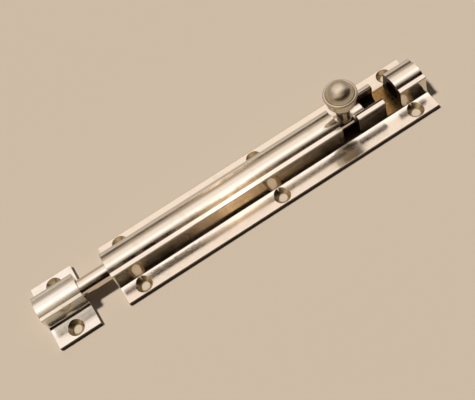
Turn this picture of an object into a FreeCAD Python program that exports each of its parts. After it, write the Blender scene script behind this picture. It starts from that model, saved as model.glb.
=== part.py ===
import FreeCAD, Part
import Sketcher
import math
import os
import re
import sys

# Door bolt with a straight barrel, a round shooting rod with a turned knob, and a loose keep.
# All sizes are millimetres. The body plate's back face lies on the plane z = 0, centred on the
# origin, with the barrel along X. The keep and the rod's tip are at the low X end, +Z points
# away from the door, and the knob stands up out of the barrel's slot.

SIZES = [
    # The body: a flat plate and a barrel drawn as one section.
    ("body_length", 150.0),
    ("plate_width", 30.0),
    ("plate_thickness", 2.2),
    ("barrel_width", 12.5),
    ("shoulder_height", 11.8),
    ("axis_height", 7.2),
    ("bore_radius", 3.85),
    ("crown_wall", 2.3),
    # The two notches across the barrel, the island between them with its slot for the stem, and
    # the barrel's end piece behind them.
    ("front_notch_width", 7.8),
    ("island_length", 13.1),
    ("rear_notch_width", 7.3),
    ("end_piece_length", 12.7),
    ("notch_floor_height", 3.2),
    ("slot_width", 6.9),
    # Screw holes, the same in the body and in the keep.
    ("screw_radius", 1.9),
    ("screw_head_radius", 3.5),
    ("screw_head_angle", 90.0),
    ("body_hole_inset", 9.0),
    ("body_hole_offset", 11.1),
    # The keep: a short length of a slightly slimmer section.
    ("keep_gap", 13.2),
    ("keep_length", 18.8),
    ("keep_width", 30.6),
    ("keep_thickness", 2.2),
    ("keep_barrel_width", 11.8),
    ("keep_shoulder_height", 11.6),
    ("keep_bore_radius", 4.1),
    ("keep_crown_wall", 1.95),
    ("keep_hole_offset", 11.0),
    # The rod that shoots into the keep.
    ("rod_clearance", 0.1),
    ("rod_overreach", 0.3),
    ("rod_tail_length", 8.8),
    ("rod_end_chamfer", 0.5),
    # The knob: stem, cone, rounded rim and dome, placed by distance from the rod's axis.
    ("stem_radius", 2.9),
    ("stem_setback", 4.5),
    ("seat_height", 2.4),
    ("seat_clearance", 0.15),
    ("spigot_radius", 1.95),
    ("spigot_length", 3.9),
    ("spigot_clearance", 0.05),
    ("spigot_end_gap", 0.1),
    ("cone_start", 9.2),
    ("cone_end", 14.5),
    ("head_radius", 6.15),
    ("rim_radius", 0.8),
    ("rim_height", 19.0),
    ("dome_groove_width", 0.5),
    ("dome_groove_depth", 0.35),
    ("dome_top", 24.5),
    # The friction ring in its groove round the rod, inside the barrel.
    ("ring_place", 92.0),
    ("ring_width", 2.0),
    ("ring_groove_depth", 0.9),
    ("ring_play", 0.1),
    ("ring_bore_clearance", 0.03),
    ("ring_split", 1.0),
    # Small rounded edges.
    ("plate_edge_round", 0.25),
    ("shoulder_edge_round", 0.45),
    ("waist_round", 1.2),
    ("cone_round", 2.4),
]

ALONG = FreeCAD.Vector(1, 0, 0)
ACROSS = FreeCAD.Vector(0, 1, 0)
UP = FreeCAD.Vector(0, 0, 1)

# Formulas that more than one piece uses.
KEEP_MIDDLE = "-(body_length / 2 + keep_gap + keep_length / 2)"
ROD_RADIUS = "(bore_radius - rod_clearance)"
ROD_TIP = "-(body_length / 2 + keep_gap + keep_length + rod_overreach)"
REAR_END = "(body_length / 2 - end_piece_length)"
ISLAND_END = "(" + REAR_END + " - rear_notch_width)"
ISLAND_START = "(" + ISLAND_END + " - island_length)"
NOTCH_START = "(" + ISLAND_START + " - front_notch_width)"
KNOB_PLACE = "(" + NOTCH_START + " + stem_setback)"
GROOVE_RADIUS = "(" + ROD_RADIUS + " - ring_groove_depth)"

doc = FreeCAD.newDocument("door_bolt")
sheet = doc.addObject("Spreadsheet::Sheet", "sizes")
for row, (alias, value) in enumerate(SIZES, start=1):
    sheet.set("A" + str(row), alias)
    sheet.set("B" + str(row), str(value))
    sheet.setAlias("B" + str(row), alias)
doc.recompute()

ALIASES = {alias for alias, _ in SIZES}


def linked(formula):
    """Return a formula with each size's name pointing at its cell in the sheet."""
    return re.sub(r"[a-z_]+", lambda word: "sizes." + word[0] if word[0] in ALIASES else word[0], formula)


def worth(formula):
    """Return the number that a formula gives with the sheet's present sizes."""
    return float(sheet.evalExpression(linked(formula)))


def new_body(name, x="0", y="0", z="0"):
    """Make a sub-part and tie its place to the sheet."""
    body = doc.addObject("PartDesign::Body", name)
    body.Label = name
    for axis, formula in (("x", x), ("y", y), ("z", z)):
        body.setExpression(".Placement.Base." + axis, linked(formula))
    return body


def new_sketch(body, name, role, height="0"):
    """Start a sketch on one of the body's own planes, or at a height above it."""
    sketch = body.newObject("Sketcher::SketchObject", name)
    plane = next(item for item in body.Origin.OriginFeatures if item.Role == role)
    sketch.AttachmentSupport = [(plane, "")]
    sketch.MapMode = "FlatFace"
    sketch.setExpression(".AttachmentOffset.Base.z", linked(height))
    return sketch


def hold_value(sketch, constraint, formula):
    """Add a constraint with a value and tie that value to a formula."""
    number = sketch.addConstraint(constraint)
    sketch.setExpression("Constraints[" + str(number) + "]", linked(formula))


def hold_place(sketch, piece, end, kind, formula):
    """Hold one coordinate of a piece's point at a formula, measured from the sketch's origin."""
    if formula == "0":
        axis = -2 if kind == "DistanceX" else -1
        sketch.addConstraint(Sketcher.Constraint("PointOnObject", piece, end, axis))
    else:
        hold_value(sketch, Sketcher.Constraint(kind, -1, 1, piece, end, worth(formula)), formula)


def hold_point(sketch, piece, end, x, y):
    """Hold both coordinates of a piece's point at formulas."""
    hold_place(sketch, piece, end, "DistanceX", x)
    hold_place(sketch, piece, end, "DistanceY", y)


def draw_outline(sketch, points):
    """Draw a closed outline through points, each given as its x and y formulas.

    A third item on a point makes the stretch from it to the next point round: the x and y
    formulas of its centre. It runs anticlockwise.
    """
    places = [FreeCAD.Vector(worth(point[0]), worth(point[1]), 0) for point in points]
    pieces = []
    for number, point in enumerate(points):
        start = places[number]
        end = places[(number + 1) % len(points)]
        if len(point) == 2:
            pieces.append(sketch.addGeometry(Part.LineSegment(start, end), False))
            continue
        centre_x, centre_y = point[2]
        centre = FreeCAD.Vector(worth(centre_x), worth(centre_y), 0)
        first = math.atan2(start.y - centre.y, start.x - centre.x)
        last = math.atan2(end.y - centre.y, end.x - centre.x)
        last += 2 * math.pi if last < first else 0
        circle = Part.Circle(centre, UP, start.distanceToPoint(centre))
        pieces.append(sketch.addGeometry(Part.ArcOfCircle(circle, first, last), False))
        if abs(end.x - start.x) > abs(end.y - start.y):
            hold_place(sketch, pieces[-1], 3, "DistanceY", centre_y)
        else:
            hold_place(sketch, pieces[-1], 3, "DistanceX", centre_x)
    for number, point in enumerate(points):
        follower = pieces[(number + 1) % len(points)]
        sketch.addConstraint(Sketcher.Constraint("Coincident", pieces[number], 2, follower, 1))
        hold_point(sketch, pieces[number], 1, point[0], point[1])


def draw_circle(sketch, x, y, radius):
    """Draw a circle whose centre and radius follow formulas."""
    centre = FreeCAD.Vector(worth(x), worth(y), 0)
    number = sketch.addGeometry(Part.Circle(centre, UP, worth(radius)), False)
    hold_value(sketch, Sketcher.Constraint("Radius", number, worth(radius)), radius)
    hold_point(sketch, number, 3, x, y)


def draw_box(sketch, low_x, high_x, low_y, high_y):
    """Draw an upright rectangle between four formulas."""
    draw_outline(sketch, [(low_x, low_y), (high_x, low_y), (high_x, high_y), (low_x, high_y)])


def volume_of(body):
    """Return the body's volume as it stands."""
    doc.recompute()
    return body.Shape.Volume


def push_out(body, sketch, length):
    """Push a section out by a length, half of it to each side of its plane."""
    pad = body.newObject("PartDesign::Pad", sketch.Name + "_pad")
    pad.Profile = sketch
    pad.SideType = "Symmetric"
    pad.setExpression("Length", linked(length))
    doc.recompute()


def turn_round(body, sketch, axis):
    """Turn an outline all the way round one of its sketch's axes."""
    turning = body.newObject("PartDesign::Revolution", sketch.Name + "_turned")
    turning.Profile = sketch
    turning.ReferenceAxis = (sketch, [axis])
    turning.Angle = 360
    doc.recompute()


def cut_away(body, sketch, upward=False, both_sides=False, depth=None):
    """Cut an outline away, right through or to a depth, and stop if nothing was cut."""
    before = volume_of(body)
    cut = body.newObject("PartDesign::Pocket", sketch.Name + "_cut")
    cut.Profile = sketch
    cut.SideType = "Two sides" if both_sides else "One side"
    cut.Reversed = upward
    if depth is None:
        cut.Type = "ThroughAll"
        if both_sides:
            cut.Type2 = "ThroughAll"
    else:
        cut.Type = "Length"
        cut.setExpression("Length", linked(depth))
    if volume_of(body) >= before:
        sys.exit(sketch.Name + " cuts nothing")


def bore_screw_holes(body, sketch):
    """Bore countersunk holes down through a plate at the circles of a sketch on its face."""
    before = volume_of(body)
    hole = body.newObject("PartDesign::Hole", sketch.Name + "_bored")
    hole.Profile = sketch
    doc.recompute()
    hole.ThreadType = "None"
    hole.DepthType = "ThroughAll"
    hole.HoleCutType = "Countersink"
    hole.HoleCutCustomValues = True
    hole.setExpression("Diameter", linked("2 * screw_radius"))
    hole.setExpression("HoleCutDiameter", linked("2 * screw_head_radius"))
    hole.setExpression("HoleCutCountersinkAngle", linked("screw_head_angle"))
    if volume_of(body) >= before:
        sys.exit(sketch.Name + " cuts nothing")


def round_edges(body, name, radius, wanted):
    """Round the edges that pass a test by a radius from the sheet."""
    doc.recompute()
    base = body.Tip
    numbered = enumerate(base.Shape.Edges, start=1)
    names = ["Edge" + str(number) for number, edge in numbered if wanted(edge)]
    rounding = body.newObject("PartDesign::Fillet", name)
    rounding.Base = (base, names)
    rounding.setExpression("Radius", linked(radius))
    doc.recompute()


def near(first, second):
    """Say whether two lengths are the same for all purposes here."""
    return math.isclose(first, second, abs_tol=0.001)


def runs(edge, direction):
    """Say whether an edge is a straight one along a direction."""
    if len(edge.Vertexes) != 2:
        return False
    span = edge.Vertexes[1].Point - edge.Vertexes[0].Point
    return near(span.Length, edge.Length) and near(abs(span.dot(direction)), edge.Length)


def make_section(body, length, width, thickness, barrel, shoulder, bore, wall):
    """Push out a plate and barrel: square shoulders, a round crown over them, and the bore."""
    crown = "(" + bore + " + " + wall + ")"
    foot = "sqrt(" + crown + "^2 - (" + shoulder + " - axis_height)^2)"
    half_plate = width + " / 2"
    half_barrel = barrel + " / 2"
    section = new_sketch(body, body.Name + "_section", "YZ_Plane")
    draw_outline(section, [
        ("-" + half_plate, "0"),
        (half_plate, "0"),
        (half_plate, thickness),
        (half_barrel, thickness),
        (half_barrel, shoulder),
        (foot, shoulder, ("0", "axis_height")),
        ("-" + foot, shoulder),
        ("-" + half_barrel, shoulder),
        ("-" + half_barrel, thickness),
        ("-" + half_plate, thickness),
    ])
    draw_circle(section, "0", "axis_height", bore)
    push_out(body, section, length)


def round_section(body, length, width, thickness, barrel, shoulder):
    """Ease the plate's corners and rim and the outer edges of the shoulders."""
    half_length = worth(length) / 2
    half_width = worth(width) / 2
    top = worth(thickness)
    half_barrel = worth(barrel) / 2
    ledge = worth(shoulder)

    def on_plate(edge):
        middle = edge.CenterOfMass
        at_side = near(abs(middle.y), half_width)
        at_end = near(abs(middle.x), half_length)
        corner = runs(edge, UP) and at_side and at_end
        return corner or near(middle.z, top) and (at_side or at_end and runs(edge, ACROSS))

    def on_shoulder(edge):
        middle = edge.CenterOfMass
        return runs(edge, ALONG) and near(abs(middle.y), half_barrel) and near(middle.z, ledge)

    round_edges(body, body.Name + "_plate_round", "plate_edge_round", on_plate)
    round_edges(body, body.Name + "_shoulder_round", "shoulder_edge_round", on_shoulder)


def make_barrel_body():
    """The fixed body: plate and barrel in one, notched twice and slotted for the knob's stem."""
    body = new_body("barrel_body")
    make_section(body, "body_length", "plate_width", "plate_thickness", "barrel_width",
                 "shoulder_height", "bore_radius", "crown_wall")
    above = "(axis_height + bore_radius + 2 * crown_wall)"
    front = new_sketch(body, "front_notch", "XZ_Plane")
    draw_box(front, NOTCH_START, ISLAND_START, "notch_floor_height", above)
    cut_away(body, front, both_sides=True)
    rear = new_sketch(body, "rear_notch", "XZ_Plane")
    draw_box(rear, ISLAND_END, REAR_END, "notch_floor_height", above)
    cut_away(body, rear, both_sides=True)
    slot = new_sketch(body, "stem_slot", "XY_Plane", "axis_height")
    draw_box(slot, ISLAND_START + " - front_notch_width / 2", ISLAND_END + " + rear_notch_width / 2",
             "-slot_width / 2", "slot_width / 2")
    cut_away(body, slot, upward=True)
    holes = new_sketch(body, "body_screw_holes", "XY_Plane", "plate_thickness")
    end = "(body_length / 2 - body_hole_inset)"
    for x in ("-" + end, "0", end):
        for y in ("-body_hole_offset", "body_hole_offset"):
            draw_circle(holes, x, y, "screw_radius")
    bore_screw_holes(body, holes)
    round_section(body, "body_length", "plate_width", "plate_thickness", "barrel_width",
                  "shoulder_height")
    return body


def make_keep():
    """The loose keep that the rod shoots into, screwed to the frame."""
    body = new_body("keep", x=KEEP_MIDDLE)
    make_section(body, "keep_length", "keep_width", "keep_thickness", "keep_barrel_width",
                 "keep_shoulder_height", "keep_bore_radius", "keep_crown_wall")
    holes = new_sketch(body, "keep_screw_holes", "XY_Plane", "keep_thickness")
    for y in ("-keep_hole_offset", "keep_hole_offset"):
        draw_circle(holes, "0", y, "screw_radius")
    bore_screw_holes(body, holes)
    round_section(body, "keep_length", "keep_width", "keep_thickness", "keep_barrel_width",
                  "keep_shoulder_height")
    return body


def make_rod():
    """The round rod, from its tip at the body's origin, with a ring groove and the knob's seat."""
    body = new_body("bolt_rod", x=ROD_TIP, z="axis_height")
    knob = "(" + KNOB_PLACE + " - " + ROD_TIP + ")"
    tail = "(" + knob + " + rod_tail_length)"
    groove_end = "(ring_place + ring_width + 2 * ring_play)"
    chamfered = "(" + ROD_RADIUS + " - rod_end_chamfer)"
    profile = new_sketch(body, "rod_profile", "XZ_Plane")
    draw_outline(profile, [
        ("0", "0"),
        (tail, "0"),
        (tail, chamfered),
        (tail + " - rod_end_chamfer", ROD_RADIUS),
        (groove_end, ROD_RADIUS),
        (groove_end, GROOVE_RADIUS),
        ("ring_place", GROOVE_RADIUS),
        ("ring_place", ROD_RADIUS),
        ("rod_end_chamfer", ROD_RADIUS),
        ("0", chamfered),
    ])
    turn_round(body, profile, "H_Axis")
    seat = new_sketch(body, "knob_seat", "XY_Plane", "seat_height")
    draw_circle(seat, knob, "0", "stem_radius + seat_clearance")
    cut_away(body, seat, upward=True)
    tapping = new_sketch(body, "spigot_hole", "XY_Plane", "seat_height")
    draw_circle(tapping, knob, "0", "spigot_radius + spigot_clearance")
    cut_away(body, tapping, depth="spigot_length + spigot_end_gap")
    return body


def make_knob():
    """The turned knob: spigot, stem, cone, head wall, rounded rim, groove and dome."""
    body = new_body("knob", x=KNOB_PLACE, z="axis_height")
    rim_low = "(rim_height - rim_radius)"
    rim_high = "(rim_height + rim_radius)"
    groove_low = "(" + rim_high + " - dome_groove_depth)"
    dome_foot = "(head_radius - dome_groove_width)"
    dome_rise = "(dome_top - " + groove_low + ")"
    dome_radius = "((" + dome_foot + "^2 + " + dome_rise + "^2) / (2 * " + dome_rise + "))"
    profile = new_sketch(body, "knob_profile", "XZ_Plane")
    draw_outline(profile, [
        ("0", "seat_height - spigot_length"),
        ("spigot_radius", "seat_height - spigot_length"),
        ("spigot_radius", "seat_height"),
        ("stem_radius", "seat_height"),
        ("stem_radius", "cone_start"),
        ("head_radius", "cone_end"),
        ("head_radius", rim_low, ("head_radius", "rim_height")),
        ("head_radius", rim_high),
        (dome_foot, groove_low, ("0", "dome_top - " + dome_radius)),
        ("0", "dome_top"),
    ])
    turn_round(body, profile, "V_Axis")

    def at_waist(edge):
        return near(edge.CenterOfMass.z, worth("cone_start")) and not runs(edge, UP)

    def at_shoulder(edge):
        return near(edge.CenterOfMass.z, worth("cone_end")) and not runs(edge, UP)

    round_edges(body, "waist_round_edge", "waist_round", at_waist)
    round_edges(body, "cone_round_edge", "cone_round", at_shoulder)
    return body


def make_ring():
    """The split ring that rubs in the bore and keeps the rod where it is put."""
    body = new_body("friction_ring", x=ROD_TIP + " + ring_place + ring_play + ring_width / 2",
                    z="axis_height")
    section = new_sketch(body, "ring_section", "YZ_Plane")
    draw_circle(section, "0", "0", "bore_radius - ring_bore_clearance")
    draw_circle(section, "0", "0", GROOVE_RADIUS + " + ring_play")
    push_out(body, section, "ring_width")
    split = new_sketch(body, "ring_split_gap", "XZ_Plane")
    draw_box(split, "-ring_width", "ring_width", "-ring_split / 2", "ring_split / 2")
    cut_away(body, split, upward=True)
    return body


sub_parts = [make_barrel_body(), make_keep(), make_rod(), make_knob(), make_ring()]
doc.recompute()

for item in doc.Objects:
    if "Invalid" in item.State or "Error" in item.State:
        sys.exit(item.Label + " did not build: " + ", ".join(item.State))
for body in sub_parts:
    if body.Shape.isNull() or not body.Shape.isValid() or not body.Shape.Solids:
        sys.exit(body.Label + " is not a valid solid")

os.makedirs("parts", exist_ok=True)
for body in sub_parts:
    body.Shape.exportStep("parts/" + body.Label + ".step")
    box = body.Shape.BoundBox
    print(body.Label, len(body.Shape.Solids), "solid, volume", round(body.Shape.Volume, 1), "mm3, box",
          [round(value, 2) for value in (box.XMin, box.XMax, box.YMin, box.YMax, box.ZMin, box.ZMax)])
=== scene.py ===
"""Door bolt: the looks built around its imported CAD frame.

A straight barrel bolt in bright nickel over brass, with a loose keep. Each sub-assembly is a
class that holds its sizes in millimetres and builds its meshes. Each finish is a small class
that builds its material. main() puts the pieces on the bodies of the frame, then the studio.
"""

import logging
import math
from collections.abc import Sequence
from dataclasses import dataclass
from enum import Enum
from typing import Any

import bmesh
import bpy
from mathutils import Matrix, Quaternion, Vector


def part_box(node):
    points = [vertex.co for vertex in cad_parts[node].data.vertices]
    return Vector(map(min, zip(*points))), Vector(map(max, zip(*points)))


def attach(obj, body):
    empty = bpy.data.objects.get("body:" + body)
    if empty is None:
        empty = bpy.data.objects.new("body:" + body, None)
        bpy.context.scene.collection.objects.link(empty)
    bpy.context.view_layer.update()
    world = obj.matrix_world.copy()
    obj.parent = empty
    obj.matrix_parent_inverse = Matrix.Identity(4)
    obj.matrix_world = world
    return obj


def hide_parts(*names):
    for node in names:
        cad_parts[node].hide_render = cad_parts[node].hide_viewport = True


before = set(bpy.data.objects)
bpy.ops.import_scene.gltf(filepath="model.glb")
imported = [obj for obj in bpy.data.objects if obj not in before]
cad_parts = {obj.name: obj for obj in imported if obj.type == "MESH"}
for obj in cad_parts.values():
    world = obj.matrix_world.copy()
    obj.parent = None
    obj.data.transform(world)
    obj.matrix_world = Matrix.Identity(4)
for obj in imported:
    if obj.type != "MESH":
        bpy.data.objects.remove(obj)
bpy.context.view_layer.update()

MM = 0.001
SHARP_DEGREES = 32.0
LOG = logging.getLogger("door_bolt")

Point = tuple[float, float]
Limits = tuple[float, float]
Links = dict[str | int, Any]
Socket = bpy.types.NodeSocket
Tree = bpy.types.NodeTree
Node = bpy.types.Node
Material = bpy.types.Material
Piece = bpy.types.Object
Shape = bmesh.types.BMesh


class Grain(Enum):
    """The way that the fine lines left by making run over a piece."""

    DRAWN = "straight along the barrel"
    TURNED = "round the knob's upright axis"


def linear(colour: str) -> tuple[float, float, float, float]:
    """Turn an sRGB hex colour to the linear values that shaders take.

    Args:
        colour: A hash sign and six hex digits.

    Returns:
        Linear red, green, blue and an alpha of 1.
    """
    shares = [int(colour[start:start + 2], 16) / 255 for start in (1, 3, 5)]
    values = [share / 12.92 if share <= 0.04045 else ((share + 0.055) / 1.055) ** 2.4
              for share in shares]
    return values[0], values[1], values[2], 1.0


def connect(tree: Tree, node: Node, links: Links) -> None:
    """Link or set the inputs of a node.

    Args:
        tree: The node's tree.
        node: The node.
        links: For each input, by name or number, an output to link or a value to set.
    """
    for key, value in links.items():
        if isinstance(value, Socket):
            tree.links.new(value, node.inputs[key])
        else:
            node.inputs[key].default_value = value


def add(tree: Tree, kind: str, links: Links | None = None, **settings: Any) -> Node:
    """Add a node to a tree with its settings and its inputs.

    Args:
        tree: The tree that gets the node.
        kind: The node's type name.
        links: Its inputs, as for connect().
        settings: Properties of the node itself.

    Returns:
        The new node.
    """
    node = tree.nodes.new(kind)
    for name, value in settings.items():
        setattr(node, name, value)
    connect(tree, node, links or {})
    return node


@dataclass(frozen=True)
class Fade:
    """A soft change from a low share to a high one while a value goes from start to end."""

    value: Socket
    start: float
    end: float
    low: float = 0.0
    high: float = 1.0


def blend(tree: Tree, *fades: Fade) -> Socket:
    """Multiply soft fades into one share.

    Args:
        tree: The tree that gets the nodes.
        fades: The fades to multiply.

    Returns:
        The share.
    """
    share: Any = 1.0
    for fade in fades:
        part = add(tree, "ShaderNodeMapRange", {
            "Value": fade.value, "From Min": fade.start, "From Max": fade.end,
            "To Min": fade.low, "To Max": fade.high,
        }, interpolation_type="SMOOTHSTEP").outputs[0]
        share = add(tree, "ShaderNodeMath", {0: share, 1: part}, operation="MULTIPLY").outputs[0]
    return share


def away(tree: Tree, value: Socket, middle: float) -> Socket:
    """Return how far a value is from a middle."""
    apart = add(tree, "ShaderNodeMath", {0: value, 1: middle}, operation="SUBTRACT").outputs[0]
    return add(tree, "ShaderNodeMath", {0: apart}, operation="ABSOLUTE").outputs[0]


def place_from(tree: Tree, centre: Vector) -> Socket:
    """Return the place on a piece in millimetres from a centre, itself in millimetres."""
    return add(tree, "ShaderNodeMapping", {
        "Vector": add(tree, "ShaderNodeTexCoord").outputs["Object"],
        "Location": tuple(-centre), "Scale": (1 / MM,) * 3,
    }).outputs[0]


def new_material(name: str) -> tuple[Material, Tree, Node]:
    """Make a material.

    Args:
        name: Its name.

    Returns:
        The material, its tree and its shader.
    """
    material = bpy.data.materials.new(name)
    material.use_nodes = True
    tree = material.node_tree
    return material, tree, tree.nodes["Principled BSDF"]


def arc(centre: Point, radius: float, first: float, last: float, steps: int) -> list[Point]:
    """Return points along an arc.

    Args:
        centre: The arc's centre.
        radius: Its radius.
        first: The angle of its first point in degrees.
        last: The angle of its last point in degrees.
        steps: How many straight steps it is drawn with.

    Returns:
        steps + 1 points.
    """
    angles = [math.radians(first + (last - first) * step / steps) for step in range(steps + 1)]
    return [(centre[0] + radius * math.cos(a), centre[1] + radius * math.sin(a)) for a in angles]


def rounded(corners: Sequence[tuple[float, float, float]], steps: int = 5) -> list[Point]:
    """Round the inner corners of an open path.

    Args:
        corners: Each corner's two coordinates and its radius, 0 for a sharp one.
        steps: How many straight steps each round corner is drawn with.

    Returns:
        The path's points, with its two ends as they were.
    """
    path = [(corners[0][0], corners[0][1])]
    for before, corner, after in zip(corners, corners[1:], corners[2:]):
        here = Vector(corner[:2])
        back = (Vector(before[:2]) - here).normalized()
        on = (Vector(after[:2]) - here).normalized()
        if corner[2] == 0:
            path.append((here.x, here.y))
            continue
        half = back.angle(on) / 2
        centre = here + (back + on).normalized() * corner[2] / math.sin(half)
        start = here + back * corner[2] / math.tan(half) - centre
        turn = start.angle_signed(here + on * corner[2] / math.tan(half) - centre)
        for step in range(steps + 1):
            spoke = start.copy()
            spoke.rotate(Matrix.Rotation(-turn * step / steps, 2))
            path.append((centre.x + spoke.x, centre.y + spoke.y))
    path.append((corners[-1][0], corners[-1][1]))
    return path


def mesh_object(name: str, shape: Shape, materials: Sequence[Material]) -> Piece:
    """Turn a shape drawn in millimetres into an object at the origin, in metres.

    Args:
        name: The object's name.
        shape: The shape, which is freed.
        materials: Its materials, in the order of their numbers on its faces.

    Returns:
        The new object, with faces that point outwards.
    """
    bmesh.ops.remove_doubles(shape, verts=shape.verts, dist=1e-5)
    bmesh.ops.recalc_face_normals(shape, faces=shape.faces)
    bmesh.ops.scale(shape, vec=(MM, MM, MM), verts=shape.verts)
    mesh = bpy.data.meshes.new(name)
    shape.to_mesh(mesh)
    shape.free()
    for material in materials:
        mesh.materials.append(material)
    piece = bpy.data.objects.new(name, mesh)
    bpy.context.scene.collection.objects.link(piece)
    return piece


def extruded(outline: Sequence[Point], low: float, high: float) -> Shape:
    """Push a closed outline out along X.

    Args:
        outline: The outline's Y and Z.
        low: Where along X it starts.
        high: Where along X it ends.

    Returns:
        The solid as a shape.
    """
    shape = bmesh.new()
    rings = [[shape.verts.new((x, y, z)) for y, z in outline] for x in (low, high)]
    count = len(outline)
    for number in range(count):
        after = (number + 1) % count
        shape.faces.new((rings[0][number], rings[0][after], rings[1][after], rings[1][number]))
    for ring in rings:
        shape.faces.new(ring)
    return shape


def turned(profile: Sequence[Point], place: Matrix, steps: int) -> Shape:
    """Turn a profile round an axis.

    Args:
        profile: Distance from the axis and height along it, from one pole to the other.
        place: Puts the axis, which starts as Z, where it belongs.
        steps: How many flats the round is drawn with.

    Returns:
        The solid as a shape.
    """
    shape = bmesh.new()
    rings = []
    for radius, height in profile:
        count = steps if radius > 0 else 1
        angles = [2 * math.pi * number / steps for number in range(count)]
        spots = [Vector((radius * math.cos(a), radius * math.sin(a), height)) for a in angles]
        rings.append([shape.verts.new(place @ spot) for spot in spots])
    for lower, upper in zip(rings, rings[1:]):
        for number in range(steps):
            after = (number + 1) % steps
            around = [lower[number % len(lower)], lower[after % len(lower)],
                      upper[after % len(upper)], upper[number % len(upper)]]
            shape.faces.new(list(dict.fromkeys(around)))
    return shape


def lying(axis_height: float) -> Matrix:
    """Return the place of an axis that runs along X at a height."""
    return Matrix.Translation((0, 0, axis_height)) @ Matrix.Rotation(math.pi / 2, 4, "Y")


def boxed(low: Vector, high: Vector, floor_number: int = 0) -> Shape:
    """Draw a box, whose lowest face may have another material's number.

    Args:
        low: Its lowest corner.
        high: Its highest corner.
        floor_number: The material's number on the lowest face.

    Returns:
        The box as a shape.
    """
    middle = (low + high) / 2
    shape = bmesh.new()
    bmesh.ops.create_cube(shape, size=1, matrix=Matrix.LocRotScale(middle, None, high - low))
    for face in shape.faces:
        if face.calc_center_median().z < middle.z and abs(face.normal.z) > 0.5:
            face.material_index = floor_number
    return shape


def settle(piece: Piece) -> None:
    """Bake a piece's modifiers into its mesh and take them off.

    Args:
        piece: The piece, which keeps its name.
    """
    depsgraph = bpy.context.evaluated_depsgraph_get()
    mesh = bpy.data.meshes.new_from_object(
        piece.evaluated_get(depsgraph), preserve_all_data_layers=True, depsgraph=depsgraph)
    piece.modifiers.clear()
    old = piece.data
    piece.data = mesh
    bpy.data.meshes.remove(old)
    mesh.name = piece.name


def carve(piece: Piece, cutters: Sequence[Piece]) -> None:
    """Cut solids out of a piece, whose cut faces take the cutters' materials.

    Args:
        piece: The piece to cut.
        cutters: The solids to cut away, which are removed.
    """
    for cutter in cutters:
        cut = piece.modifiers.new(cutter.name, "BOOLEAN")
        cut.operation = "DIFFERENCE"
        cut.solver = "EXACT"
        cut.material_mode = "TRANSFER"
        cut.object = cutter
    settle(piece)
    for cutter in cutters:
        bpy.data.objects.remove(cutter)


def sharp_edges(shape: Shape, outer: bool) -> list[bmesh.types.BMEdge]:
    """Return a shape's sharp edges.

    Args:
        shape: The shape.
        outer: Whether to return its outer ones or those in its inner corners.

    Returns:
        The edges.
    """
    limit = math.radians(SHARP_DEGREES)
    return [edge for edge in shape.edges if len(edge.link_faces) == 2
            and edge.calc_face_angle(0) >= limit and edge.is_convex is outer]


def ease_edges(piece: Piece, width: float, steps: int = 3) -> None:
    """Round the sharp outer edges of a piece a little, and shade it smooth.

    Args:
        piece: The piece, whose inner corners stay sharp.
        width: How wide the rounding is, in millimetres. It stays under the smallest radius of
            the piece's outline, so that the rounding doesn't cross itself.
        steps: How many steps it is drawn with.
    """
    shape = bmesh.new()
    shape.from_mesh(piece.data)
    bmesh.ops.dissolve_degenerate(shape, dist=2e-6, edges=shape.edges)
    weights = shape.edges.layers.float.new("bevel_weight_edge")
    for edge in sharp_edges(shape, True):
        edge[weights] = 1.0
    shape.to_mesh(piece.data)
    shape.free()
    easing = piece.modifiers.new("eased edges", "BEVEL")
    easing.limit_method = "WEIGHT"
    easing.width = width * MM
    easing.segments = steps
    easing.use_clamp_overlap = False
    easing.miter_outer = "MITER_ARC"
    settle(piece)
    shape = bmesh.new()
    shape.from_mesh(piece.data)
    for face in shape.faces:
        face.smooth = True
    for edge in sharp_edges(shape, False):
        edge.smooth = False
    shape.to_mesh(piece.data)
    shape.free()
    facing = piece.modifiers.new("facing", "WEIGHTED_NORMAL")
    facing.keep_sharp = True
    settle(piece)


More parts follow.
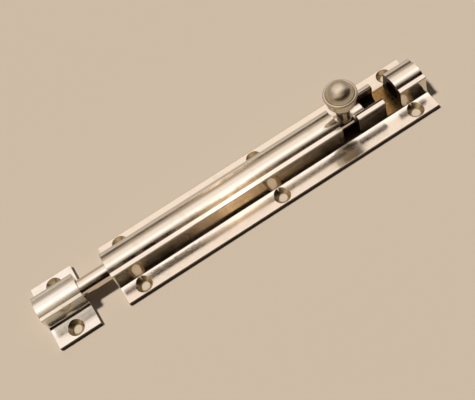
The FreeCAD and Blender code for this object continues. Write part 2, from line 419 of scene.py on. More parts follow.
@dataclass(frozen=True)
class PlatedFinish:
    """Bright nickel plate on polished brass.

    It mirrors its surroundings like a slightly wavy looking glass: polishing left soft waves,
    drawing or turning left fine lines, and handling left a faint bloom and warm stains.
    """

    name: str
    grain: Grain
    plate: str = "#DDD3C5"
    stain: str = "#AD957A"
    stain_share: float = 0.15
    stain_size: float = 7.0
    stain_limits: Limits = (0.5, 0.72)
    roughness_low: float = 0.06
    roughness_high: float = 0.2
    bloom_limits: Limits = (0.16, 0.36)
    wave_size: float = 6.0
    wave_depth: float = 0.012
    line_spacing: float = 0.22
    line_length: float = 26.0
    line_depth: float = 0.0012
    haze_share: float = 0.7
    haze_strength: float = 0.35
    haze_size: float = 0.8
    haze_softness: float = 0.1
    haze_place: Limits = (8.4, 9.8)
    haze_roughness: float = 0.3
    pit_and_shade_colour: str = "#5C513D"
    speck_size: float = 0.45
    speck_limits: Limits = (0.44, 0.56)
    pit_and_shade_places: tuple[tuple[float, float, float, float], ...] = ()
    axis: tuple[float, float, float] = (0.0, 0.0, 0.0)

    def build(self) -> Material:
        """Build the material with its nodes.

        Returns:
            The material.
        """
        material, tree, shader = new_material(self.name)
        place = place_from(tree, Vector(self.axis))
        lines = add(tree, "ShaderNodeTexNoise", {
            "Vector": self.line_place(tree, place), "Scale": 1.0, "Detail": 3.0, "Roughness": 0.6,
        }).outputs[0]
        waves = add(tree, "ShaderNodeTexNoise", {
            "Vector": place, "Scale": 1 / self.wave_size, "Detail": 1.0,
        }).outputs[0]
        stains = add(tree, "ShaderNodeTexNoise", {
            "Vector": place, "Scale": 1 / self.stain_size, "Detail": 5.0, "Roughness": 0.62,
        }).outputs[0]
        colour = add(tree, "ShaderNodeMix", {
            "Factor": blend(tree, Fade(stains, *self.stain_limits, 0.0, self.stain_share)),
            "A": linear(self.plate), "B": linear(self.stain),
        }, data_type="RGBA").outputs["Result"]
        bloom = add(tree, "ShaderNodeMath", {0: stains, 1: lines}, operation="MULTIPLY").outputs[0]
        roughness = add(tree, "ShaderNodeMapRange", {
            "Value": bloom, "From Min": self.bloom_limits[0], "From Max": self.bloom_limits[1],
            "To Min": self.roughness_low, "To Max": self.roughness_high,
        }).outputs[0]
        roughness = add(tree, "ShaderNodeMix", {
            "Factor": self.hazed(tree, place), "A": roughness, "B": self.haze_roughness,
        }).outputs["Result"]
        if self.pit_and_shade_places:
            colour = add(tree, "ShaderNodeMix", {
                "Factor": self.pits_and_painted_shade(tree, place), "A": colour, "B": linear(self.pit_and_shade_colour),
            }, data_type="RGBA").outputs["Result"]
        wavy = add(tree, "ShaderNodeBump", {
            "Height": waves, "Distance": self.wave_depth * MM, "Strength": 1.0,
        }).outputs[0]
        lined = add(tree, "ShaderNodeBump", {
            "Height": lines, "Distance": self.line_depth * MM, "Strength": 1.0, "Normal": wavy,
        }).outputs[0]
        connect(tree, shader, {"Metallic": 1.0, "Base Color": colour, "Roughness": roughness,
                               "Normal": lined})
        return material

    def hazed(self, tree: Tree, place: Socket) -> Socket:
        """Mark the fine haze on both sides of the plate, where hands and cloths wore it.

        Args:
            tree: The material's tree.
            place: The place in millimetres from the pattern's centre.

        Returns:
            The haze's strength, and 0 where there is none.
        """
        specks = add(tree, "ShaderNodeTexNoise", {
            "Vector": place, "Scale": 1 / self.haze_size, "Detail": 2.0,
        }).outputs[0]
        # the noise's middle half lies between 0.43 and 0.57, which sets the share that is hazy
        edge = 0.5 + 0.28 * (0.5 - self.haze_share)
        speckled = add(tree, "ShaderNodeMapRange", {
            "Value": specks, "From Min": edge - self.haze_softness,
            "From Max": edge + self.haze_softness,
        }).outputs[0]
        across = add(tree, "ShaderNodeSeparateXYZ", {0: place}).outputs[1]
        beside = blend(tree, Fade(away(tree, across, 0.0), *self.haze_place,
                                  0.0, self.haze_strength))
        return add(tree, "ShaderNodeMath", {0: speckled, 1: beside},
                   operation="MULTIPLY").outputs[0]

    def pits_and_painted_shade(self, tree: Tree, place: Socket) -> Socket:
        """Mark small dark pits at a few places, which also paint the dark reflection of the
        barrel's wall where the flange mirrors it.

        Args:
            tree: The material's tree.
            place: The place in millimetres from the pattern's centre.

        Returns:
            1 in a pit and 0 elsewhere.
        """
        grains = add(tree, "ShaderNodeTexNoise", {
            "Vector": place, "Scale": 1 / self.speck_size, "Detail": 3.0,
        }).outputs[0]
        holes = add(tree, "ShaderNodeMapRange", {
            "Value": grains, "From Min": self.speck_limits[0], "From Max": self.speck_limits[1],
        }).outputs[0]
        along, across, _ = add(tree, "ShaderNodeSeparateXYZ", {0: place}).outputs
        pits_and_shade: Any = 0.0
        for x, reach, y, half in self.pit_and_shade_places:
            spot = blend(tree, Fade(away(tree, along, x), reach, reach / 2),
                         Fade(away(tree, across, y), half, half / 2))
            pits_and_shade = add(tree, "ShaderNodeMath", {0: pits_and_shade, 1: spot}, operation="MAXIMUM").outputs[0]
        return add(tree, "ShaderNodeMath", {0: holes, 1: pits_and_shade}, operation="MULTIPLY").outputs[0]

    def line_place(self, tree: Tree, place: Socket) -> Socket:
        """Stretch a place so that noise read there comes out as lines.

        Args:
            tree: The material's tree.
            place: The place in millimetres from the pattern's centre.

        Returns:
            The stretched place.
        """
        across = 1 / self.line_spacing
        along = 1 / self.line_length
        if self.grain is Grain.DRAWN:
            return add(tree, "ShaderNodeVectorMath", {
                0: place, 1: (along, across, across),
            }, operation="MULTIPLY").outputs[0]
        parts = add(tree, "ShaderNodeSeparateXYZ", {0: place}).outputs
        flat = add(tree, "ShaderNodeCombineXYZ", {0: parts[0], 1: parts[1]}).outputs[0]
        radius = add(tree, "ShaderNodeVectorMath", {0: flat}, operation="LENGTH").outputs["Value"]
        tall = add(tree, "ShaderNodeCombineXYZ", {0: radius, 1: parts[2]}).outputs[0]
        return add(tree, "ShaderNodeVectorMath", {
            0: tall, 1: (across, across, along),
        }, operation="MULTIPLY").outputs[0]


@dataclass(frozen=True)
class BareBrassFinish:
    """Cut brass that the plate didn't cover, dulled to an orange brown with dark spots."""

    name: str = "cut_brass"
    fresh: str = "#B08C56"
    dull: str = "#2C1D10"
    patch_size: float = 1.3
    roughness_low: float = 0.18
    roughness_high: float = 0.36
    tool_mark_spacing: float = 0.35
    tool_mark_depth: float = 0.006

    def build(self) -> Material:
        """Build the material with its nodes.

        Returns:
            The material.
        """
        material, tree, shader = new_material(self.name)
        place = place_from(tree, Vector())
        patches = add(tree, "ShaderNodeTexNoise", {
            "Vector": place, "Scale": 1 / self.patch_size, "Detail": 4.0, "Roughness": 0.65,
        }).outputs[0]
        colour = add(tree, "ShaderNodeMix", {
            "Factor": patches, "A": linear(self.dull), "B": linear(self.fresh),
        }, data_type="RGBA").outputs["Result"]
        roughness = add(tree, "ShaderNodeMapRange", {
            "Value": patches, "From Min": 0.3, "From Max": 0.7,
            "To Min": self.roughness_high, "To Max": self.roughness_low,
        }).outputs[0]
        marks = add(tree, "ShaderNodeTexNoise", {
            "Vector": place, "Scale": 1 / self.tool_mark_spacing, "Detail": 2.0,
        }).outputs[0]
        marked = add(tree, "ShaderNodeBump", {
            "Height": marks, "Distance": self.tool_mark_depth * MM, "Strength": 1.0,
        }).outputs[0]
        connect(tree, shader, {"Metallic": 1.0, "Base Color": colour, "Roughness": roughness,
                               "Normal": marked})
        return material


@dataclass(frozen=True)
class NylonFinish:
    """Moulded natural nylon, milky and softly shiny."""

    name: str = "moulded_nylon"
    resin: str = "#DAD6C8"
    shade: str = "#C6C0AE"
    mottle_size: float = 0.8
    roughness: float = 0.42

    def build(self) -> Material:
        """Build the material with its nodes.

        Returns:
            The material.
        """
        material, tree, shader = new_material(self.name)
        mottle = add(tree, "ShaderNodeTexNoise", {
            "Vector": place_from(tree, Vector()), "Scale": 1 / self.mottle_size, "Detail": 2.0,
        }).outputs[0]
        colour = add(tree, "ShaderNodeMix", {
            "Factor": mottle, "A": linear(self.resin), "B": linear(self.shade),
        }, data_type="RGBA").outputs["Result"]
        connect(tree, shader, {"Base Color": colour, "Roughness": self.roughness})
        return material


@dataclass(frozen=True)
class ScrewHole:
    """A countersunk hole for a wood screw, drilled down through a plate."""

    radius: float = 1.9
    head_radius: float = 3.5
    overrun: float = 1.0
    steps: int = 72

    def cutters(self, name: str, surface: float, middle: float, spacing: Point, columns: int,
                material: Material) -> Piece:
        """Make the solids that cut a grid of holes, by a node tree that sets one on each point.

        Args:
            name: The object's name.
            surface: The height of the plate's face.
            middle: Where along X the grid's middle lies.
            spacing: The grid's length along X and along Y.
            columns: How many holes it has along X, with two along Y in each.
            material: What the holes' walls are made of.

        Returns:
            One object with all the cutters.
        """
        shape = turned([
            (0, -self.overrun),
            (self.radius, -self.overrun),
            (self.radius, surface + self.radius - self.head_radius),
            (self.head_radius + self.overrun, surface + self.overrun),
            (0, surface + self.overrun),
        ], Matrix(), self.steps)
        drill = mesh_object(name + "_drill", shape, [material])
        tree = bpy.data.node_groups.new(name, "GeometryNodeTree")
        tree.interface.new_socket("Geometry", in_out="INPUT", socket_type="NodeSocketGeometry")
        for label, kind in (("Drill", "NodeSocketObject"), ("Length", "NodeSocketFloat"),
                            ("Width", "NodeSocketFloat"), ("Columns", "NodeSocketInt"),
                            ("Material", "NodeSocketMaterial")):
            tree.interface.new_socket(label, in_out="INPUT", socket_type=kind)
        tree.interface.new_socket("Geometry", in_out="OUTPUT", socket_type="NodeSocketGeometry")
        sizes = add(tree, "NodeGroupInput").outputs
        grid = add(tree, "GeometryNodeMeshGrid", {
            "Size X": sizes["Length"], "Size Y": sizes["Width"],
            "Vertices X": sizes["Columns"], "Vertices Y": 2,
        }).outputs["Mesh"]
        drilled = add(tree, "GeometryNodeObjectInfo", {"Object": sizes["Drill"]})
        placed = add(tree, "GeometryNodeInstanceOnPoints", {
            "Points": grid, "Instance": drilled.outputs["Geometry"],
        }).outputs[0]
        real = add(tree, "GeometryNodeRealizeInstances", {"Geometry": placed}).outputs[0]
        dressed = add(tree, "GeometryNodeSetMaterial", {
            "Geometry": real, "Material": sizes["Material"],
        }).outputs[0]
        add(tree, "NodeGroupOutput", {"Geometry": dressed})
        holes = mesh_object(name, bmesh.new(), [material])
        maker = holes.modifiers.new(name, "NODES")
        maker.node_group = tree
        values = {"Drill": drill, "Length": spacing[0] * MM, "Width": spacing[1] * MM,
                  "Columns": columns, "Material": material}
        for socket in tree.interface.items_tree:
            if socket.name in values:
                maker[socket.identifier] = values[socket.name]
        settle(holes)
        holes.data.transform(Matrix.Translation((middle * MM, 0, 0)))
        bpy.data.objects.remove(drill)
        return holes


@dataclass
class Section:
    """The drawn section that the body and the keep share: a plate with a barrel on it."""

    plate_width: float
    barrel_width: float
    shoulder_height: float
    axis_height: float
    bore_radius: float
    crown_wall: float
    plate_thickness: float = 2.2
    plate_edge_round: float = 0.25
    wall_lean: float = 1.0
    foot_lean: float = 17.0
    wall_bend: float = 0.5
    wall_steps: int = 18
    foot_round: float = 0.2
    rise_start: float = 10.2
    rise_height: float = 0.38
    rise_steps: int = 10
    shoulder_round: float = 0.4
    shoulder_rise: float = 0.58
    groove_width: float = 0.37
    groove_lip: float = 0.2
    crown_step: float = 2.52

    def wall(self) -> list[tuple[float, float, float]]:
        """Draw the barrel's side, with the plate's slight rise to its flared foot.

        Returns:
            The side's corners for rounded(), from the plate up to the shoulder.
        """
        foot_height = self.plate_thickness + self.rise_height
        step = (self.shoulder_height - foot_height) / self.wall_steps
        points = [(self.barrel_width / 2, self.shoulder_height, 0.0)]
        for number in range(self.wall_steps):
            down = (number + 0.5) / self.wall_steps - self.wall_bend
            y, z, _ = points[0]
            lean = self.wall_lean + self.foot_lean * max(0.0, down) / (1 - self.wall_bend)
            reach = step * math.tan(math.radians(lean))
            points.insert(0, (y + reach, z - step, 0.0))
        foot = points[0][0]
        points[0] = (foot, foot_height, self.foot_round)
        for number in range(self.rise_steps):
            share = 1 - (number + 1) / self.rise_steps
            points.insert(0, (self.rise_start - share * (self.rise_start - foot),
                              self.plate_thickness + self.rise_height * share ** 2, 0.0))
        points[-1] = (*points[-1][:2], self.shoulder_round)
        return points

    def outline(self) -> list[Point]:
        """Draw the section's outline.

        Returns:
            Its points, anticlockwise from the middle of its back.
        """
        crown = self.bore_radius + self.crown_wall
        rise = self.shoulder_height - self.axis_height
        foot = math.sqrt(crown ** 2 - rise ** 2)
        right = rounded([
            (0, 0, 0),
            (self.plate_width / 2, 0, 0),
            (self.plate_width / 2, self.plate_thickness, self.plate_edge_round),
            *self.wall(),
            (foot + self.groove_width, self.shoulder_height + self.shoulder_rise, self.groove_lip),
            (foot, self.shoulder_height, 0),
        ])
        first = math.degrees(math.atan2(rise, foot))
        steps = round((180 - 2 * first) / self.crown_step)
        over = arc((0, self.axis_height), crown, first, 180 - first, steps)
        left = [(-y, z) for y, z in reversed(right)]
        return right + over[1:-1] + left[:-1]

    def bore(self, name: str, low: float, high: float, steps: int, material: Material) -> Piece:
        """Make the solid that cuts the bore.

        Args:
            name: The solid's name.
            low: Where along X it starts.
            high: Where along X it ends.
            steps: How many flats it is drawn with.
            material: What the bore's wall is made of.

        Returns:
            The solid.
        """
        profile = [(0, low), (self.bore_radius, low), (self.bore_radius, high), (0, high)]
        return mesh_object(name, turned(profile, lying(self.axis_height), steps), [material])


def paint_shade_on_sides(piece: Piece) -> None:
    """Give the two long side faces of a piece's plate its second material, which paints them dark
    as the shade at the plate's edge.

    Args:
        piece: The piece, as wide as its plate.
    """
    width = max(vertex.co.y for vertex in piece.data.vertices)
    for face in piece.data.polygons:
        if abs(face.center.y) > 0.999 * width:
            face.material_index = 1


@dataclass
class BarrelBody:
    """The fixed body: plate and barrel in one, notched twice and slotted for the knob's stem."""

    section: Section
    length: float = 150.0
    front_notch_width: float = 7.8
    island_length: float = 13.1
    rear_notch_width: float = 7.3
    end_piece_length: float = 12.7
    notch_floor: float = 3.2
    slot_width: float = 6.9
    hole_columns: int = 3
    hole_inset: float = 9.0
    hole_offset: float = 11.1
    edge_width: float = 0.1
    overrun: float = 1.0
    steps: int = 120

    def build(self, plate: Material, edge: Material, brass: Material, bore: Material,
              hole: Material) -> Piece:
        """Build the body's mesh.

        Args:
            plate: The plated finish.
            edge: The finish of the plate's side faces, painted dark as shade.
            brass: The finish of the rear notch's floor.
            bore: The finish of the bore, painted near black as shade, which the notch walls and the
                front notch's floor take too.
            hole: The finish of the screw holes.

        Returns:
            The finished piece.
        """
        half = self.length / 2
        piece = mesh_object("bright_barrel_body", extruded(self.section.outline(), -half, half),
                            [plate, edge])
        paint_shade_on_sides(piece)
        island_end = half - self.end_piece_length - self.rear_notch_width
        island_start = island_end - self.island_length
        above = self.section.shoulder_height + 3 * self.overrun
        wide = self.section.plate_width / 2 + self.overrun
        cutters = [self.section.bore("bore", -half - self.overrun, half + self.overrun,
                                     self.steps, bore)]
        for name, low, high in (
                ("front_notch", island_start - self.front_notch_width, island_start),
                ("rear_notch", island_end, island_end + self.rear_notch_width)):
            shape = boxed(Vector((low, -wide, self.notch_floor)), Vector((high, wide, above)), 1)
            # the front notch's floor takes the bore's near black, painted as the shadow of the rod
            # and knob over it
            floor = brass if name == "rear_notch" else bore
            cutters.append(mesh_object(name, shape, [bore, floor]))
        slot_half = self.slot_width / 2
        shape = boxed(Vector((island_start - self.overrun, -slot_half, self.section.axis_height)),
                      Vector((island_end + self.overrun, slot_half, above)))
        cutters.append(mesh_object("stem_slot", shape, [plate]))
        cutters.append(ScrewHole().cutters(
            "body_screw_holes", self.section.plate_thickness, 0,
            (self.length - 2 * self.hole_inset, 2 * self.hole_offset), self.hole_columns, hole))
        carve(piece, cutters)
        ease_edges(piece, self.edge_width)
        return piece


@dataclass
class Keep:
    """The loose keep that the rod shoots into."""

    section: Section
    low: float
    high: float
    hole_offset: float = 11.0
    edge_width: float = 0.1
    overrun: float = 1.0
    steps: int = 120

    def build(self, plate: Material, edge: Material, bore: Material, hole: Material) -> Piece:
        """Build the keep's mesh.

        Args:
            plate: The plated finish.
            edge: The finish of the plate's side faces, painted dark as shade.
            bore: The finish of the bore, painted near black as shade.
            hole: The finish of the screw holes.

        Returns:
            The finished piece.
        """
        piece = mesh_object("bright_keep", extruded(self.section.outline(), self.low, self.high),
                            [plate, edge])
        paint_shade_on_sides(piece)
        middle = (self.low + self.high) / 2
        cutters = [
            self.section.bore("keep_bore", self.low - self.overrun, self.high + self.overrun,
                              self.steps, bore),
            ScrewHole().cutters("keep_screw_holes", self.section.plate_thickness, middle,
                                (0, 2 * self.hole_offset), 1, hole),
        ]
        carve(piece, cutters)
        ease_edges(piece, self.edge_width)
        return piece


@dataclass
class Rod:
    """The round rod, with the friction ring's groove and the knob's seat."""

    low: float
    high: float
    axis_height: float
    knob_place: float
    radius: float = 3.75
    end_chamfer: float = 0.5
    ring_start: float = 92.0
    ring_groove_width: float = 2.2
    ring_groove_depth: float = 0.9
    seat_height: float = 2.4
    seat_radius: float = 3.05
    spigot_radius: float = 2.0
    spigot_depth: float = 4.0
    edge_width: float = 0.12
    steps: int = 144

    def build(self, plate: Material) -> Piece:
        """Build the rod's mesh.

        Args:
            plate: The plated finish.

        Returns:
            The finished piece.
        """
        groove = self.low + self.ring_start
        groove_end = groove + self.ring_groove_width
        deep = self.radius - self.ring_groove_depth
        profile = rounded([
            (0, self.low, 0),
            (self.radius - self.end_chamfer, self.low, self.edge_width),
            (self.radius, self.low + self.end_chamfer, self.edge_width),
            (self.radius, groove, 0),
            (deep, groove, 0),
            (deep, groove_end, 0),
            (self.radius, groove_end, 0),
            (self.radius, self.high - self.end_chamfer, self.edge_width),
            (self.radius - self.end_chamfer, self.high, self.edge_width),
            (0, self.high, 0),
        ])
        round_bar = turned(profile, lying(self.axis_height), self.steps)
        piece = mesh_object("bright_rod", round_bar, [plate])
        seat = self.axis_height + self.seat_height
        above = self.axis_height + 2 * self.radius
        upright = Matrix.Translation((self.knob_place, 0, 0))
        drill = turned([
            (0, seat - self.spigot_depth),
            (self.spigot_radius, seat - self.spigot_depth),
            (self.spigot_radius, seat),
            (self.seat_radius, seat),
            (self.seat_radius, above),
            (0, above),
        ], upright, self.steps // 2)
        carve(piece, [mesh_object("knob_seat", drill, [plate])])
        ease_edges(piece, self.edge_width)
        return piece


@dataclass
class Knob:
    """The turned knob: spigot, stem, cone, head wall, rounded rim, groove and dome.

    Heights are measured from the rod's axis.
    """

    place: float
    axis_height: float
    spigot_radius: float = 1.95
    spigot_length: float = 3.9
    seat_height: float = 2.4
    stem_radius: float = 2.9
    cone_start: float = 9.2
    cone_end: float = 14.5
    waist_round: float = 1.2
    cone_round: float = 2.4
    head_radius: float = 6.15
    rim_height: float = 19.0
    rim_radius: float = 0.8
    groove_width: float = 0.5
    groove_depth: float = 0.35
    dome_top: float = 24.5
    edge_width: float = 0.1
    steps: int = 160

    def profile(self) -> list[Point]:
        """Draw the knob's profile.

        Returns:
            Its points, from its lower pole to its upper one.
        """
        rim_low = self.rim_height - self.rim_radius
        rim_high = self.rim_height + self.rim_radius
        groove_low = rim_high - self.groove_depth
        dome_foot = self.head_radius - self.groove_width
        rise = self.dome_top - groove_low
        dome_radius = (dome_foot ** 2 + rise ** 2) / (2 * rise)
        dome_centre = self.dome_top - dome_radius
        lower = rounded([
            (0, self.seat_height - self.spigot_length, 0),
            (self.spigot_radius, self.seat_height - self.spigot_length, 0),
            (self.spigot_radius, self.seat_height, 0),
            (self.stem_radius, self.seat_height, 0),
            (self.stem_radius, self.cone_start, self.waist_round),
            (self.head_radius, self.cone_end, self.cone_round),
            (self.head_radius, rim_low, 0),
        ], steps=10)
        rim = arc((self.head_radius, self.rim_height), self.rim_radius, -90, 90, 16)
        first = math.degrees(math.atan2(groove_low - dome_centre, dome_foot))
        dome = arc((0, dome_centre), dome_radius, first, 90, 28)
        return lower + rim[1:] + [(dome_foot, groove_low)] + dome[1:-1] + [(0, self.dome_top)]

    def build(self, plate: Material) -> Piece:
        """Build the knob's mesh.

        Args:
            plate: The plated finish.

        Returns:
            The finished piece.
        """
        upright = Matrix.Translation((self.place, 0, self.axis_height))
        piece = mesh_object("bright_knob", turned(self.profile(), upright, self.steps), [plate])
        ease_edges(piece, self.edge_width, steps=2)
        return piece


@dataclass
class Studio:
    """The floor, the soft window of light, the key light and the camera.

    The window is a soft bright patch of sky behind and above the object, whiter at its core. A
    small warm glow stands on the camera's side and a pale screen to the keep's side of it, as
    one would set them up round a polished piece. The key light comes from the window, and the
    metal mirrors the window in its place.
    """

    floor_colour: str = "#C6BCB0"
    floor_size: float = 24.0
    floor_drop: float = 0.02
    floor_roughness: float = 0.9
    window_colour: str = "#FFF3EA"
    window_strength: float = 1.26
    window_low: Limits = (-10.0, 52.0)
    window_high: Limits = (122.0, 91.0)
    window_middle: float = 0.0
    window_side: Limits = (0.95, 0.3)
    window_side_share: float = 0.35
    core_colour: str = "#D0E4FF"
    core_strength: float = 0.55
    core_middle: float = 83.0
    core_reach: float = 21.0
    room_colour: str = "#1A120B"
    wall_colour: str = "#A09384"
    wall_top: float = 0.5
    wall_turn: Limits = (-0.3, 0.3)
    glow_colour: str = "#FFF6EA"
    glow_shade: str = "#FFDCAE"
    glow_shading: Limits = (110.0, 128.0)
    glow_strength: float = 2.2
    glow_rise: Limits = (0.048, 0.082)
    glow_fall: Limits = (0.126, 0.09)
    glow_tail: Limits = (0.32, 0.1)
    glow_tail_share: float = 0.03
    glow_middle: float = 117.0
    glow_reach: Limits = (29.0, 19.0)
    screen_colour: str = "#F2E2C8"
    screen_strength: float = 0.95
    screen_along: Limits = (-0.1, -0.17)
    screen_rise: Limits = (86.0, 112.0)
    screen_fall: Limits = (154.0, 124.0)
    fill_share: float = 0.05
    sun_colour: str = "#FFF4E6"
    sun_strength: float = 3.5
    sun_direction: tuple[float, float, float] = (-0.31, 0.19, 0.93)
    sun_spread: float = 6.0
    camera_place: tuple[float, float, float] = (-47.64, -174.35, 300.98)
    camera_target: tuple[float, float, float] = (-15.74, -0.3, 0.0)
    camera_roll: float = -23.58
    camera_lens: float = 64.11
    camera_sensor: float = 36.0
    camera_sight: Limits = (0.01, 100.0)

    def build_floor(self) -> None:
        """Lay the floor just under the object."""
        shape = bmesh.new()
        bmesh.ops.create_grid(shape, size=self.floor_size / MM / 2, x_segments=1, y_segments=1,
                              matrix=Matrix.Translation((0, 0, -self.floor_drop)))
        material, tree, shader = new_material("plain_floor")
        connect(tree, shader, {"Base Color": linear(self.floor_colour),
                               "Roughness": self.floor_roughness, "Specular IOR Level": 0.0})
        floor = mesh_object("floor", shape, [material])
        if floor.data.polygons[0].normal.z < 0:
            floor.data.flip_normals()

    def build_world(self) -> None:
        """Make the world a dim room with a pale far wall, a window over it, a glow and a screen.

        A direction's sweep is its angle over the barrel's line: 0 degrees level on the far side,
        90 straight up, 180 level on the camera's side.
        """
        world = bpy.data.worlds.new("studio")
        world.use_nodes = True
        bpy.context.scene.world = world
        tree = world.node_tree
        direction = add(tree, "ShaderNodeTexCoord").outputs["Generated"]
        along, across, up = add(tree, "ShaderNodeSeparateXYZ", {0: direction}).outputs
        sweep = add(tree, "ShaderNodeMath", {0: up, 1: across}, operation="ARCTAN2").outputs[0]
        sweep = add(tree, "ShaderNodeMath", {0: sweep}, operation="DEGREES").outputs[0]
        beside = Fade(away(tree, along, self.window_middle), *self.window_side,
                      self.window_side_share)
        walled = blend(tree, Fade(up, self.wall_top, 0.0), Fade(across, *self.wall_turn))
        room = add(tree, "ShaderNodeMix", {
            "Factor": walled, "A": linear(self.room_colour), "B": linear(self.wall_colour),
        }, data_type="RGBA").outputs["Result"]
        window = blend(tree, Fade(sweep, *self.window_low), Fade(sweep, *self.window_high), beside)
        pane = [channel * self.window_strength for channel in linear(self.window_colour)]
        sky = add(tree, "ShaderNodeMix", {
            "Factor": window, "A": room, "B": pane,
        }, data_type="RGBA").outputs["Result"]
        cored = blend(tree, Fade(away(tree, sweep, self.core_middle), self.core_reach, 0.0), beside)
        screened = blend(tree, Fade(along, *self.screen_along), Fade(sweep, *self.screen_rise),
                         Fade(sweep, *self.screen_fall))
        ending = add(tree, "ShaderNodeMix", {
            "Factor": self.glow_tail_share, "A": blend(tree, Fade(along, *self.glow_fall)),
            "B": blend(tree, Fade(along, *self.glow_tail)),
        }).outputs["Result"]
        glows = []
        for low, high in ((1.0, 0.0), (0.0, 1.0)):
            share = blend(tree, Fade(along, *self.glow_rise),
                          Fade(away(tree, sweep, self.glow_middle), *self.glow_reach),
                          Fade(sweep, *self.glow_shading, low, high))
            glows.append(add(tree, "ShaderNodeMath", {0: share, 1: ending},
                             operation="MULTIPLY").outputs[0])
        for share, colour, strength in ((cored, self.core_colour, self.core_strength),
                                        (screened, self.screen_colour, self.screen_strength),
                                        (glows[0], self.glow_colour, self.glow_strength),
                                        (glows[1], self.glow_shade, self.glow_strength)):
            extra = [channel * strength for channel in linear(colour)]
            sky = add(tree, "ShaderNodeMix", {
                "Factor": share, "A": sky, "B": extra,
            }, data_type="RGBA", blend_type="ADD").outputs["Result"]
        # the floor gets less of the sky than the metal mirrors, so the key's shadows are deep
        diffuse = add(tree, "ShaderNodeLightPath").outputs["Is Diffuse Ray"]
        strength = add(tree, "ShaderNodeMapRange", {
            "Value": diffuse, "To Min": 1.0, "To Max": self.fill_share,
        }).outputs[0]
        connect(tree, tree.nodes["Background"], {"Color": sky, "Strength": strength})

    def build_sun(self) -> None:
        """Add the soft key light that comes from the window and casts the shadows."""
        lamp = bpy.data.lights.new("key", "SUN")
        lamp.energy = self.sun_strength
        lamp.color = linear(self.sun_colour)[:3]
        lamp.angle = math.radians(self.sun_spread)
        holder = bpy.data.objects.new("key", lamp)
        holder.rotation_mode = "QUATERNION"
        holder.rotation_quaternion = Vector(self.sun_direction).to_track_quat("Z", "Y")
        holder.visible_glossy = False
        bpy.context.scene.collection.objects.link(holder)

    def build_camera(self) -> None:
        """Stand the camera where the photograph was taken from."""
        camera = bpy.data.cameras.new("camera")
        camera.lens = self.camera_lens
        camera.sensor_width = self.camera_sensor
        camera.clip_start, camera.clip_end = self.camera_sight
        place = Vector(self.camera_place) * MM
        view = Vector(self.camera_target) * MM - place
        roll = Quaternion((0, 0, 1), math.radians(self.camera_roll))
        holder = bpy.data.objects.new("camera", camera)
        holder.rotation_mode = "QUATERNION"
        holder.location = place
        holder.rotation_quaternion = view.to_track_quat("-Z", "Y") @ roll
        bpy.context.scene.collection.objects.link(holder)
        bpy.context.scene.camera = holder

    def build(self) -> None:
        """Build the whole studio."""
        bpy.context.scene.view_settings.view_transform = "Standard"
        self.build_floor()
        self.build_world()
        self.build_sun()
        self.build_camera()


def dress(piece: Piece, body: str, node: str) -> None:
    """Put a finished piece on its body in place of its CAD node and report it.

    Args:
        piece: The finished piece.
        body: The CAD body that it rides on.
        node: The CAD node that it stands for.
    """
    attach(piece, body)
    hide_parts(node)
    low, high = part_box(node)
    corners = [Vector(corner) for corner in piece.bound_box]
    gap = max(abs(min(c[axis] for c in corners) - low[axis]) for axis in range(3))
    gap = max(gap, *(abs(max(c[axis] for c in corners) - high[axis]) for axis in range(3)))
    LOG.info("%s: %d faces, box within %.3f mm of %s", piece.name, len(piece.data.polygons),
             gap / MM, node)


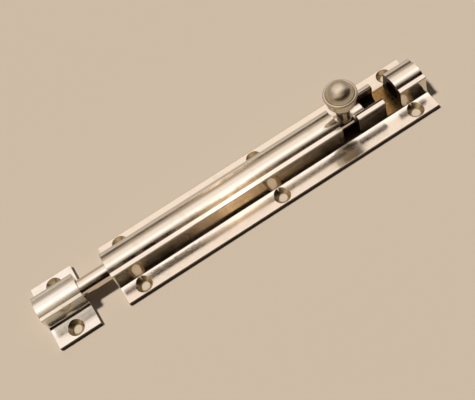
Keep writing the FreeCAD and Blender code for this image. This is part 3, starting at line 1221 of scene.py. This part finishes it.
def main() -> None:
    """Build every sub-assembly and the studio."""
    logging.basicConfig(level=logging.INFO, format="%(name)s: %(message)s")
    # drawn brass, polished and nickel plated: the eye sees soft-edged bands of the window and the
    # dark room run along the barrel; dark pits near the plate's foot also paint the shade of the
    # wall that the flange mirrors there
    drawn = PlatedFinish("bright_nickel_drawn", Grain.DRAWN,
                         pit_and_shade_places=((-50.0, 17.0, -9.5, 1.8), (30.0, 8.0, -9.4, 1.6))).build()
    # the same brass brushed before plating: the keep shows as a paler, satin piece
    drawn_keep = PlatedFinish("satin_nickel_keep", Grain.DRAWN, plate="#E4DFD6", roughness_low=0.14,
                              roughness_high=0.28).build()
    # ground rod, plated: sharper bands than the barrel's, with fine lines along it
    rod_plate = PlatedFinish("bright_nickel_rod", Grain.DRAWN, line_spacing=0.15,
                             wave_depth=0.004, stain_share=0.1).build()
    # the plate's side faces, painted dark as shade: a thin dark rim round the bright face, standing
    # for the edge in shade that mirrors the shaded floor
    edge = PlatedFinish("tarnished_plate_edge", Grain.DRAWN, plate="#40382E", stain="#241D16",
                        stain_share=0.5, roughness_low=0.3, roughness_high=0.5,
                        haze_strength=0.0).build()
    # milled brass without plate: the notch's floor shows as a mottled orange brown patch
    brass = BareBrassFinish().build()
    # bored brass without plate, dark in itself and painted near black as shade: the bore, the notch
    # walls and the front notch's floor sink into near black
    bore = BareBrassFinish("greased_bore", fresh="#3A2A1C", dull="#15100C", roughness_low=0.4,
                           roughness_high=0.6).build()
    # countersinks cut by a drill, with thin plate and brass showing: tan cones, mottled at random
    # with large dark patches
    hole = PlatedFinish("dull_brass_countersink", Grain.DRAWN, plate="#BEAD8E", stain="#6A5434",
                        stain_share=0.7, stain_size=1.6, roughness_low=0.2,
                        roughness_high=0.34, haze_strength=0.0).build()
    axis_height = 7.2

    body = BarrelBody(Section(plate_width=30.0, barrel_width=12.5, shoulder_height=11.8,
                              axis_height=axis_height, bore_radius=3.85, crown_wall=2.3))
    dress(body.build(drawn, edge, brass, bore, hole), "fixed_body", "barrel_body")

    low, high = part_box("keep")
    keep = Keep(Section(plate_width=30.6, barrel_width=11.8, shoulder_height=11.6,
                        axis_height=axis_height, bore_radius=4.1, crown_wall=1.95,
                        wall_lean=-6.5, foot_lean=58.0, wall_bend=0.7),
                low=low.x / MM, high=high.x / MM)
    dress(keep.build(drawn_keep, edge, bore, hole), "loose_keep", "keep")

    low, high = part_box("knob")
    knob_place = (low.x + high.x) / 2 / MM
    # turned brass, plated, its polish worn by hands: an olive grey dome with one soft hot spot;
    # the turning lines are drawn twice as coarse as real ones, which a pixel can't show
    knob_plate = PlatedFinish("worn_nickel_turned", Grain.TURNED, plate="#C6BCA9",
                              line_spacing=0.3, line_depth=0.002, line_length=1e4,
                              wave_depth=0.004, stain_share=0.35,
                              roughness_low=0.24, roughness_high=0.36,
                              axis=(knob_place, 0, axis_height)).build()
    low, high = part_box("bolt_rod")
    rod = Rod(low.x / MM, high.x / MM, axis_height, knob_place)
    dress(rod.build(rod_plate), "bolt", "bolt_rod")
    dress(Knob(knob_place, axis_height).build(knob_plate), "bolt", "knob")

    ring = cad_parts["friction_ring"]
    ring.data.materials.clear()
    # moulded nylon: milky white, in case the rod is drawn out far enough to see it
    ring.data.materials.append(NylonFinish().build())
    LOG.info("friction_ring: the CAD node stays, in moulded nylon")

    Studio().build()


if __name__ == "__main__":
    main()
